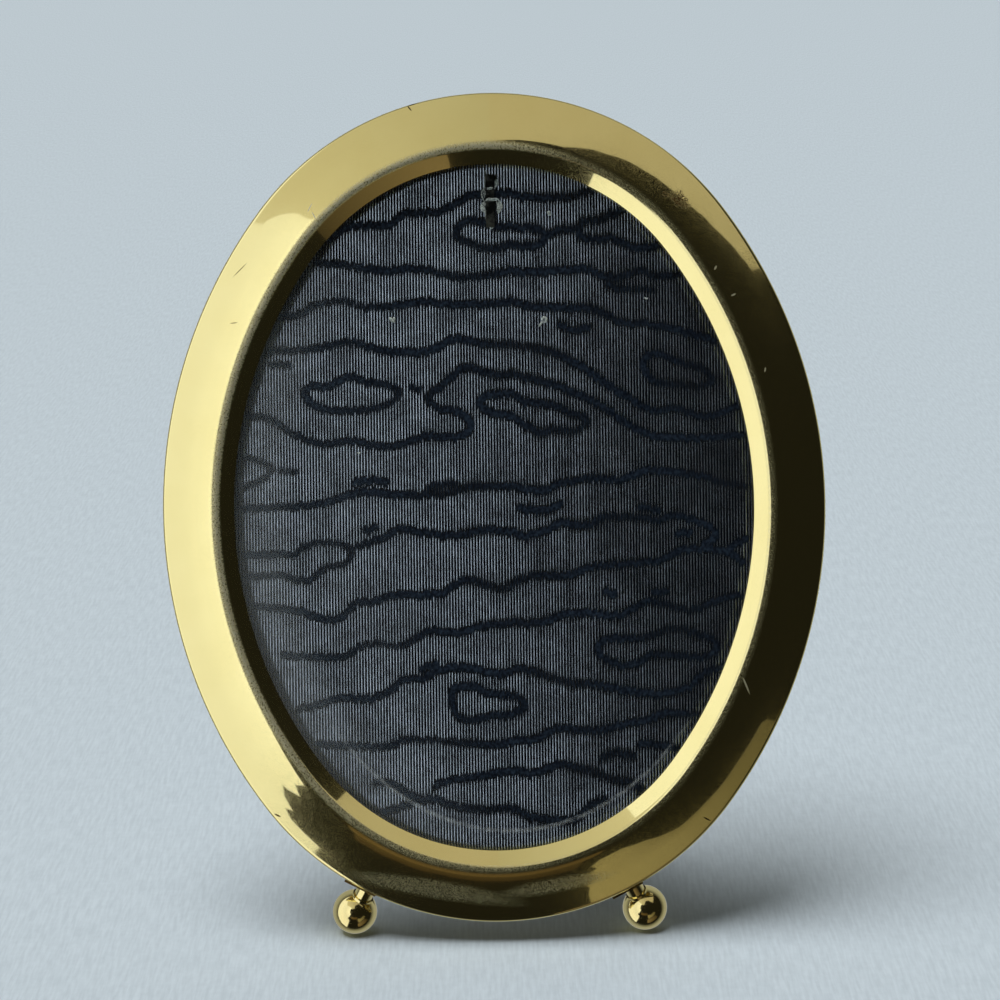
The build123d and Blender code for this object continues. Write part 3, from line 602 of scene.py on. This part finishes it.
# Hanger: a split pin of brass wire through the back, with a ring in its eye behind. Its two legs
# are bent flat, up and down the lining, and have torn it: pale threads stand out round them. Bits
# of lint lie on the silk too.
def aged_brass(add, clean, tarnish, share, polish):
    """Brass left to itself: dull tarnish over a share of it, and clean metal where it is handled,
    with the grain of its rolling or drawing."""
    place = in_drawing(add)
    clouds = add("TexNoise", {"Vector": place, "Scale": 1 / 3.5, "Detail": 6.0, "Roughness": 0.62})
    covered = add("MapRange", {0: clouds, 1: 0.62 - share * 0.4, 2: 0.82 - share * 0.4})
    grain = add("TexNoise", {"Vector": place, "Scale": 1 / 0.25, "Detail": 2.0})
    tint = add("Mix", {0: covered, 6: colour(clean), 7: colour(tarnish)}, data_type="RGBA")
    rough = add("MapRange", {0: covered, 3: polish, 4: polish + 0.24})
    bump = add("Bump", {"Height": grain, "Distance": 0.012 * MILLIMETRE, "Strength": 0.5})
    return add("BsdfPrincipled", {"Base Color": tint, "Metallic": 1.0, "Roughness": rough,
                                  "Normal": bump})


THREAD_DEPTH, THREAD_SIDES = 3.12, 6
# Each thread: its thickness, how far its middle stands up over a leg, and its route of x and z
TORN_THREADS = [
    (0.42, 0.9, [(-1, 68.2), (-0.4, 68.75), (0.5, 68.62), (1.4, 68.72), (2.1, 68.3)]),
    (0.36, 0.85, [(-0.9, 68.5), (0.2, 68.48), (1.2, 68.4), (1.9, 68.55)]),
    (0.55, 0, [(-1.2, 68.1), (-1.75, 67.3), (-1.7, 66.6), (-1.2, 66), (-0.9, 65.5)]),
    (0.55, 0.2, [(-1, 67.9), (-1.4, 67.1), (-1.35, 66.5), (-1.1, 65.9), (-0.8, 65.2)]),
    (0.45, 0, [(-1.5, 68), (-2, 67), (-1.65, 66.2), (-1.1, 65.8)]),
    (0.55, 0, [(2, 68.3), (2.45, 67.4), (2.5, 66.8), (2.1, 66.1), (1.9, 65.6)]),
    (0.55, 0.1, [(1.8, 68), (2.1, 67.3), (2.15, 66.7), (1.85, 66), (1.75, 65.5)]),
    (0.45, 0.2, [(1.5, 68.2), (1.7, 67.5), (1.75, 66.8), (1.5, 66.1)]),
    (0.32, 0.3, [(-0.95, 65.5), (-0.9, 64.6), (-0.7, 63.6), (0.1, 62.2), (0.8, 62.5)]),
    (0.26, 0.92, [(-1.25, 71.2), (-0.3, 71.1), (0.3, 71.2), (1.2, 70.95)]),
    (0.22, 0.9, [(-1.1, 70.95), (-0.2, 70.85), (0.9, 70.9)]),
    (0.28, 0.1, [(-1.15, 71.2), (-1.1, 72.4), (-1, 73.6), (-0.9, 75.2)]),
    (0.44, 0.1, [(1.2, 71.2), (1.2, 72.1), (1.45, 73), (1.75, 72.4), (1.9, 71.8)]),
    (0.40, 0, [(1.4, 71.4), (1.5, 72.2), (1.7, 72.9)]),
    (0.30, 0, [(-1.2, 71.2), (-1.8, 70.3), (-1.75, 69.3), (-1.4, 68.5), (-1.2, 68.1)]),
    (0.24, 0, [(-1.2, 70.9), (-1.3, 69.9), (-1.15, 69)]),
    (0.20, 0.3, [(-1, 70.6), (-0.9, 70.1), (-1.1, 69.6)]),
]
LINT = [
    (0.62, 0, [(-22.8, 42.6), (-22.4, 42.25), (-22.2, 41.9), (-21.6, 41.6)]),
    (0.46, 0, [(-21.9, 42.7), (-21.7, 42.2), (-21.9, 41.9)]),
    (0.52, 0, [(11.4, 41.3), (11.3, 41.9), (11.7, 42.2), (12.2, 41.8), (11.9, 41.2),
               (11.4, 41.1)]),
    (0.44, 0, [(11.4, 41.2), (10.9, 40.7), (10.6, 40.1)]),
    (0.66, 0, [(12.8, 65.8), (13.15, 65.4), (13.4, 64.9)]),
    (0.40, 0, [(13.3, 65.9), (13.1, 65.5), (12.9, 65.1)]),
    (0.30, 0, [(34.2, 46.3), (34.6, 46), (34.9, 46.2)]),
    (0.28, 0, [(-30.4, 12.6), (-30, 12.4), (-29.7, 12.7)]),
]


def strands(name, routes, finish):
    """Short round threads along their routes, thinner at the ends."""
    thread_points, thread_faces = [], []
    for thickness, lift, route in routes:
        dense = smooth_route(route, step=0.25)
        first = len(thread_points)
        for place, (x, z) in enumerate(dense):
            way = dense[min(place + 1, len(dense) - 1)] - dense[max(place - 1, 0)]
            across = np.array([-way[1], way[0]]) / np.linalg.norm(way)
            share = place / (len(dense) - 1)
            radius = thickness / 2 * (0.35 + 0.65 * (4 * share * (1 - share)) ** 0.5)
            for side in range(THREAD_SIDES):
                turn = 2 * pi * side / THREAD_SIDES
                offset = across * radius * cos(turn)
                depth = THREAD_DEPTH - lift * sin(pi * share) ** 0.4 + radius * sin(turn) * 0.7
                thread_points.append((x + offset[0], depth, z + offset[1]))
        thread_faces += between_rings(THREAD_SIDES, len(dense), first)
        for end in (first, len(thread_points) - THREAD_SIDES):
            thread_faces.append(tuple(range(end, end + THREAD_SIDES)))
    piece = new_piece(name, thread_points, thread_faces, finish, sharp_over=60)
    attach(piece, "frame")


def frayed_silk(add):
    """Torn ends of undyed silk: matt and fuzzy, and grey where dust clings to them."""
    fuzz = add("TexNoise", {"Vector": in_drawing(add), "Scale": 1 / 0.3, "Detail": 3.0})
    frayed = add("MapRange", {0: fuzz, 1: 0.38, 2: 0.62})
    pale = add("Mix", {0: frayed, 6: colour("#8A8D88"), 7: colour("#F2F3EC")}, data_type="RGBA")
    return add("BsdfPrincipled", {"Base Color": pale, "Roughness": 0.95})


silk_threads = finished("silk_threads_frayed", frayed_silk)
strands("torn_threads", TORN_THREADS, silk_threads)
strands("lint", LINT, silk_threads)

# The pin has gone nearly black, and the ring is handled when the frame is hung
pin_brass = finished("brass_wire_tarnished", aged_brass, "#5C5C58", "#101214", 0.75, 0.34)
refinish(pin_brass, "hanger_split_pin")
drawn_brass = finished("brass_drawn_wire", aged_brass, "#D8C27C", "#7C6436", 0.35, 0.2)
refinish(drawn_brass, "hanger_washer", "hanging_ring")


# Rebate band, lugs and foot plates: sheet brass cut to shape and soldered behind the moulding,
# left as it was soldered, so dull, brown in patches and never polished.
sheet_brass = finished("brass_sheet_as_soldered", aged_brass, "#C9AE6C", "#6A5330", 0.5, 0.3)
refinish(sheet_brass, "rebate_band", "foot_plate_left", "foot_plate_right",
         "button_lug_1", "button_lug_2", "button_lug_3", "button_lug_4")


# Turn buttons: small brass tongues, each on a rivet through its lug, which swivel over the back's
# edge and hold it in. Fingers keep them brighter than what is round them.
button_brass = finished("brass_sheet_handled", aged_brass, "#DCC581", "#96804A", 0.25, 0.16)
refinish(button_brass, "turn_button_1", "turn_button_2", "turn_button_3", "turn_button_4",
         "button_rivets")


# Feet: two balls turned from brass bar and polished, each screwed to a short turned post that is
# soldered to its plate.
turned_brass = finished("brass_turned_and_polished", rubbed_brass, "#EFE3A8", "#E0D08E", 0.06)
refinish(turned_brass, "foot_ball_left", "foot_ball_right", "foot_post_left", "foot_post_right")


# Hinge: two steel leaves rolled round a wire pin and riveted on, all brass-plated. The plating
# is thin, so it is paler and duller than the solid brass.
hinge_plate = finished("steel_brass_plated", aged_brass, "#CDBB85", "#8C7B52", 0.4, 0.24)
refinish(hinge_plate, "hinge_leaf_fixed", "hinge_leaf_moving", "hinge_pin", "back_rivets",
         "strut_rivets")


# Back covering: dark book cloth glued over the back board and turned round its edge, where the
# lining meets it. The cloth's corner is soft, and paler where it has rubbed.
BACK_BOARD_BACK, CLOTH = 5.60, 0.35
CLOTH_ROUND = 0.55
BACK_POINTS = 240


def rounded_turn(front, board_back):
    """Rings of cloth turned round a board's edge: inside from its back, round, and over."""
    back = board_back + CLOTH
    arc = [(CLOTH_ROUND * (1 - cos(t)), back - CLOTH_ROUND * (1 - sin(t)))
           for t in (radians(turn) for turn in range(0, 91, 15))]
    return [(CLOTH, board_back), (CLOTH, front), (0.0, front), *arc, (2.0, back)]


def book_cloth(add, thread, nap):
    """Book cloth: a plain weave filled with size, dark and nearly matt, with a dull gloss on the
    threads, and grey where its corner or its nap has rubbed."""
    place = in_drawing(add)
    # The weave is drawn at 0.55 mm, coarser than the real 0.35 mm, so that it shows
    close = add("Mapping", {"Vector": place, "Scale": (2 * pi / 0.55,) * 3})
    axes = add("SeparateXYZ", {0: close})
    warp = add("Math", {0: axes.outputs[0]}, operation="SINE")
    weft = add("Math", {0: axes.outputs[2]}, operation="SINE")
    woven = add("Math", {0: warp, 1: weft}, operation="MULTIPLY")
    fibre = add("TexNoise", {"Vector": place, "Scale": 1 / 0.2, "Detail": 3.0})
    height = add("Math", {0: woven, 1: fibre}, operation="ADD")
    wear = add("TexNoise", {"Vector": place, "Scale": 1 / 9, "Detail": 5.0})
    rubbed = add("MapRange", {0: wear, 1: 0.5, 2: 0.75, 4: 0.5})
    edge = add("Attribute", attribute_name="edge").outputs["Fac"]
    worn = add("Math", {0: edge, 1: rubbed}, operation="ADD", use_clamp=True)
    tops = add("MapRange", {0: woven, 1: -0.2, 2: 1.0})
    lighter = add("Math", {0: worn, 1: tops}, operation="MULTIPLY")
    tint = add("Mix", {0: lighter, 6: colour(thread), 7: colour(nap)}, data_type="RGBA")
    bump = add("Bump", {"Height": height, "Distance": 0.06 * MILLIMETRE, "Strength": 0.8})
    return add("BsdfPrincipled", {"Base Color": tint, "Roughness": 0.62, "Normal": bump})


dark_cloth = finished("book_cloth_black", book_cloth, "#17181B", "#5A5B5C")


def turned_cloth(name, outline, layers, rubbed_layers, place=drawing):
    """A closed skin of dark cloth through rings of (inset, depth), capped at both ends, which
    knows the rings that lie along its rubbed corner."""
    rings = [(x, depth, z) for inset, depth in layers for x, z in outline(inset)]
    count = len(rings) // len(layers)
    skin = between_rings(count, len(layers))
    skin += [tuple(range(count)), tuple(range(len(rings) - count, len(rings)))]
    cloth = new_piece(name, rings, skin, dark_cloth, place=place, sharp_over=50)
    rubbed = [0.8 if layer in rubbed_layers else 0.0 for layer in range(len(layers))]
    point_values(cloth, "edge", np.repeat(rubbed, count))
    return cloth


def back_outline(inset):
    """The back board's oval, drawn in by the inset."""
    return [oval_point(2 * pi * step / BACK_POINTS, LINING_OUTSET - inset)
            for step in range(BACK_POINTS)]


back_rings = rounded_turn(LINING_BACK, BACK_BOARD_BACK)
back_cloth = turned_cloth("back_cloth", back_outline, back_rings, range(4, 8))
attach(back_cloth, "frame")
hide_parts("back_covering")


# Strut: a tapered pasteboard leg with an arched foot, covered on its outer face and edges in the
# same cloth as the back, and lined on its front. It is drawn shut about the hinge, then opened.
HINGE = (0.0, 7.45, 32.0)
OPENING = radians(27)
STRUT_REACH, STRUT_TOP = 127.28, -2.1
STRUT_TOP_HALF, STRUT_FOOT_HALF = 14.5, 23.0
STRUT_CORNER, STRUT_PAST_FLOOR = 4.0, 1.5
ARCH_HALF, ARCH_RISE = 14.0, 6.0
STRUT_LINING_FRONT, STRUT_BOARD_FRONT, STRUT_BOARD_BACK = -1.20, -0.95, 0.49
opened = drawing @ Matrix.Translation(HINGE) @ Matrix.Rotation(OPENING, 4, "X")


def strut_line():
    """The strut's outline from its left toe over the top to its right, and back by the arch."""
    foot = -STRUT_REACH - STRUT_PAST_FLOOR
    taper = (STRUT_FOOT_HALF - STRUT_TOP_HALF) / (STRUT_REACH + STRUT_TOP)
    foot_half = STRUT_FOOT_HALF + taper * STRUT_PAST_FLOOR
    right = [Vector((STRUT_TOP_HALF, STRUT_TOP)), Vector((foot_half, foot))]
    left = [Vector((-corner.x, corner.y)) for corner in reversed(right)]
    line = [point for point, _ in rounded_line(left + right, [(STRUT_CORNER, 8)] * 2)]
    arch_radius = (ARCH_HALF**2 + ARCH_RISE**2) / (2 * ARCH_RISE)
    middle = -STRUT_REACH + ARCH_RISE - arch_radius
    half_span = atan2(ARCH_HALF, arch_radius - ARCH_RISE)
    line.append(Vector((ARCH_HALF, foot)))
    for step in range(17):
        turn = half_span * (1 - step / 8)
        line.append(Vector((arch_radius * sin(turn), middle + arch_radius * cos(turn))))
    return line + [Vector((-ARCH_HALF, foot))]


def strut_outline(inset):
    """The outline drawn in by the inset, square to each side."""
    line, drawn = strut_line(), []
    for here, point in enumerate(line):
        before = (point - line[here - 1]).normalized()
        after = (line[(here + 1) % len(line)] - point).normalized()
        side = Vector((before.y + after.y, -before.x - after.x)).normalized()
        drawn.append(point + side * inset / max(0.3, side.dot(Vector((before.y, -before.x)))))
    return drawn


def cut_at_floor(piece):
    """Cuts off what lies below the floor and closes the cut."""
    form = bmesh.new()
    form.from_mesh(piece.data)
    every = [*form.verts, *form.edges, *form.faces]
    bmesh.ops.bisect_plane(form, geom=every, plane_co=(0, 0, 0), plane_no=(0, 0, 1),
                           clear_inner=True, dist=1e-7)
    bmesh.ops.holes_fill(form, edges=[e for e in form.edges if e.is_boundary], sides=0)
    bmesh.ops.recalc_face_normals(form, faces=form.faces)
    form.to_mesh(piece.data)
    form.free()
    piece.data.set_sharp_from_angle(angle=radians(50))


cloth_rings = rounded_turn(STRUT_BOARD_FRONT, STRUT_BOARD_BACK)
facing_rings = [(0.1, STRUT_BOARD_FRONT), (0.0, STRUT_BOARD_FRONT - 0.05),
                (0.0, STRUT_LINING_FRONT + 0.08), (0.08, STRUT_LINING_FRONT),
                (1.5, STRUT_LINING_FRONT)]
for name, node, rings, rubbed_rings, flat, area in (
    ("strut_cloth", "strut_covering", cloth_rings, range(4, 8), (0.0496, 0.1288), 0.00519),
    ("strut_facing", "strut_lining", facing_rings, (2, 3), (0.0460, 0.1252), 0.00458),
):
    piece = turned_cloth(name, strut_outline, rings, rubbed_rings, place=opened)
    cut_at_floor(piece)
    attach(piece, "strut")
    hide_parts(node)


# Table: a wide sheet of pale laid paper. Its mould leaves fine short ridges in it, and it is matt,
# so that it stays even and quiet under the frame.
FLOOR_REACH = 8.0
RIDGE_WIDTH, RIDGE_LENGTH, PULP = 0.8, 9, 2.2


def laid_paper(add):
    """Laid paper: nearly white and matt, with ridges and clumps of pulp a little darker."""
    spot = add("TexCoord").outputs["Object"]
    laid = add("Mapping", {"Vector": spot, "Scale": (1 / (RIDGE_WIDTH * MILLIMETRE),
                                                     1 / (RIDGE_LENGTH * MILLIMETRE), 1.0)})
    lines = add("TexNoise", {"Vector": laid, "Scale": 1.0, "Detail": 2.0})
    pulp = add("TexNoise", {"Vector": spot, "Scale": 1 / (PULP * MILLIMETRE), "Detail": 3.0})
    both = add("Math", {0: pulp, 1: 0.4, 2: lines}, operation="MULTIPLY_ADD")
    shade = add("MapRange", {0: both, 1: 0.5, 2: 0.9})
    tint = add("Mix", {0: shade, 6: colour("#C2CED6"), 7: colour("#CEDAE2")}, data_type="RGBA")
    return add("BsdfPrincipled", {"Base Color": tint, "Roughness": 0.95,
                                  "Specular IOR Level": 0.1})


floor_mesh = bpy.data.meshes.new("floor")
corners = [(x * FLOOR_REACH, y * FLOOR_REACH, 0) for x, y in ((-1, -1), (1, -1), (1, 1), (-1, 1))]
floor_mesh.from_pydata(corners, [], [(0, 1, 2, 3)])
floor_mesh.materials.append(finished("paper_laid_pale", laid_paper))
floor = placed("floor", floor_mesh)
floor.visible_glossy = False


# Studio: cards of light that only reflections see, a tall window at the left, a dimmer ceiling,
# walls low on the right and a shelf below, in a room that is dark in front. A wide soft sun from
# above lights the paper evenly.
CARD_REACH, CARD_STEPS = 1200.0, 24


def card_light(add, tint):
    """Plain light, as bright as each point of the card says."""
    bright = add("Attribute", attribute_name="glow").outputs["Fac"]
    return add("Emission", {"Color": colour(tint), "Strength": bright})


def light_card(name, rows, tint):
    """A curved card of light, a patch of a ball about the frame. Each row of it is its degrees off
    the frame's axis, the two turns round the axis that it runs between, from the right by way of
    the top, and how bright it is at either end."""
    grid, glow, patch = [], [], []
    for off, first, last, bright_first, bright_last in rows:
        out, back = CARD_REACH * sin(radians(off)), -CARD_REACH * cos(radians(off))
        for share in (step / CARD_STEPS for step in range(CARD_STEPS + 1)):
            turn = radians(first + (last - first) * share)
            grid.append((out * cos(turn), back, out * sin(turn)))
            glow.append(bright_first + (bright_last - bright_first) * share)
    wide = CARD_STEPS + 1
    for row in range(len(rows) - 1):
        for here in range(row * wide, row * wide + CARD_STEPS):
            patch.append((here, here + 1, here + wide + 1, here + wide))
    card = new_piece(name, grid, patch, finished(name, card_light, tint))
    point_values(card, "glow", glow)
    card.visible_camera = card.visible_shadow = card.visible_diffuse = False


# The window's rows have one brightness each, and the ceiling's left part starts where they do
WINDOW = [
    (24, 130, 212, 1.3), (27, 131, 215, 1.28), (30, 132, 217, 1.25), (32, 132.5, 218.5, 1.23),
    (35.5, 133, 220.5, 1.2), (38, 133.5, 222.5, 1.16), (40, 134, 221, 1.12),
    (41.5, 134.3, 223.5, 1.12), (43.5, 135.2, 220, 1.08), (45.5, 136.4, 221, 1.05),
    (47, 137.6, 224.5, 1.04), (48.5, 139, 223, 1.03), (49.4, 140.6, 225, 1.03),
    (50, 141.5, 232, 1.03), (52, 141.5, 237, 1.03), (60, 135, 240, 1.08), (70, 127.5, 241.4, 1.15),
    (95, 120, 243, 1.15),
]
light_card("window_card", [(*row, row[-1]) for row in WINDOW], "#FFFFFF")
left_foot = [(18, 130)] + [(off, top) for off, top, _, _ in WINDOW]
light_card("ceiling_left_card", [(off, 90, foot, 0.52, 0.7) for off, foot in left_foot], "#FFF8E4")
# Where the ceiling's right part ends: degrees off the axis, turn, and how bright
RIGHT_FOOT = [
    (24, 89, 0.5), (30, 87, 0.5), (34, 84, 0.5), (38, 76, 0.5), (41, 68, 0.5), (43, 60.5, 0.5),
    (43.7, 53.5, 0.49), (44.4, 45, 0.48), (46.5, 38.5, 0.48), (48, 35.2, 0.47), (49.2, 31.5, 0.46),
    (52, 29.5, 0.46), (60, 37, 0.48), (70, 44, 0.5), (95, 54, 0.5),
]
light_card("ceiling_right_card", [(off, foot, 90, glow, 0.52) for off, foot, glow in RIGHT_FOOT],
           "#FFF4DC")
light_card("wall_card", [
    (40, 291, 296, 0.3, 0.26), (41.2, 289, 299, 0.34, 0.24), (42.5, 290, 302, 0.34, 0.22),
    (44, 287.5, 304.5, 0.34, 0.2), (46, 288.5, 309, 0.34, 0.18), (47.3, 287, 320, 0.34, 0.15),
    (48, 287.5, 330, 0.34, 0.13), (52, 286.6, 333, 0.33, 0.12), (60, 288, 333, 0.3, 0.12),
], "#FFEFC0")
light_card("far_wall_card", [
    (62, 284, 318, 0.18, 0.08), (70, 280, 322, 0.24, 0.06), (84, 280, 322, 0.2, 0.05),
], "#FFE2B4")
light_card("low_shelf_card", [
    (27, 240, 284, 0.05, 0.05), (31, 236, 292, 0.13, 0.09), (36, 236, 292, 0.16, 0.1),
    (40, 238, 286, 0.05, 0.04),
], "#FFD9A0")

world = bpy.data.worlds.new("studio")
bpy.context.scene.world = world
world.use_nodes = True
world.node_tree.nodes.clear()
add = partial(add_node, world.node_tree)
# Dark in front of the frame and pale behind it, and the pale paper's tone where the camera looks
# past the floor
path = add("LightPath")
way = add("TexCoord").outputs["Generated"]
back_way = leaned.to_3x3() @ Vector((0, 1, 0))
rearward = add("VectorMath", {0: way, 1: tuple(back_way)}, operation="DOT_PRODUCT")
pale = add("MapRange", {0: rearward, 1: 0.05, 2: 0.5})
around = add("Mix", {0: pale, 6: colour("#1E1D18"), 7: colour("#A7A9A4")}, data_type="RGBA")
seen = add("Mix", {0: path.outputs["Is Camera Ray"], 6: around, 7: colour("#BCC6CC")},
           data_type="RGBA")
shine = add("Background", {"Color": seen, "Strength": 1.0})
add("OutputWorld", {"Surface": shine})

daylight = bpy.data.lights.new("daylight", "SUN")
daylight.energy, daylight.angle = 2.6, radians(40)
overhead = placed("daylight", daylight)
overhead.rotation_euler = Vector((-0.25, -0.1, 0.96)).to_track_quat("Z", "Y").to_euler()
overhead.visible_glossy = False


# Camera: square to the frame's face, 650 mm from it, a little above and right of its centre and
# turned slightly, as in the photograph.
CAMERA_DISTANCE, CAMERA_X, CAMERA_Z = 650.0, 1.31, 1.58
CAMERA_TURN = radians(-0.8)
lens = bpy.data.cameras.new("camera")
lens.sensor_width, lens.lens = 36.0, 105.3
lens.clip_start, lens.clip_end = 0.05, 50
camera = placed("camera", lens)
upright = Matrix(((1, 0, 0), (0, 0, -1), (0, 1, 0))).to_4x4()
eye = Matrix.Translation(drawing @ Vector((CAMERA_X, -CAMERA_DISTANCE, CAMERA_Z)))
camera.matrix_world = eye @ leaned @ upright @ Matrix.Rotation(CAMERA_TURN, 4, "Z")
bpy.context.scene.camera = camera
bpy.context.scene.view_settings.view_transform = "Standard"
